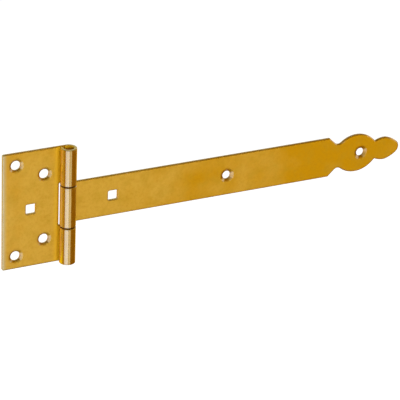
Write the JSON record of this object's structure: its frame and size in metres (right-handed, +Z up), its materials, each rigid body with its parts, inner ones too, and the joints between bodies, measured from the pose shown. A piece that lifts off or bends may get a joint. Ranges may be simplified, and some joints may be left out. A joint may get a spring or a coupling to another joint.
{
  "type": "gate hinge",
  "caption": "Ornamental T-hinge for a gate: post plate and long strap of yellow zinc-plated sheet, rolled round a plain pin, with a spade-shaped strap end.",
  "frame": {"origin": "on the back mounting plane, behind the middle of the pin", "axes": "+X along the strap towards its ornamental end, +Y out of the back faces into the post and gate, +Z up along the pin"},
  "size_m": [0.3605, 0.0131, 0.1],
  "materials": {
    "yellow_zinc": "glossy yellow-passivated zinc plating on rolled steel sheet",
    "pin_steel": "yellow-passivated zinc plating on drawn steel wire"
  },
  "bodies": {
    "plate": {"plate_leaf": "yellow_zinc", "hinge_pin": "pin_steel"},
    "strap": {"strap_leaf": "yellow_zinc"}
  },
  "joints": [
    {"name": "strap_swing", "type": "hinge", "parent": "plate", "child": "strap", "pos_m": [0, -0.00655, 0], "axis": [0, 0, -1], "range_deg": [-75, 185]}
  ]
}
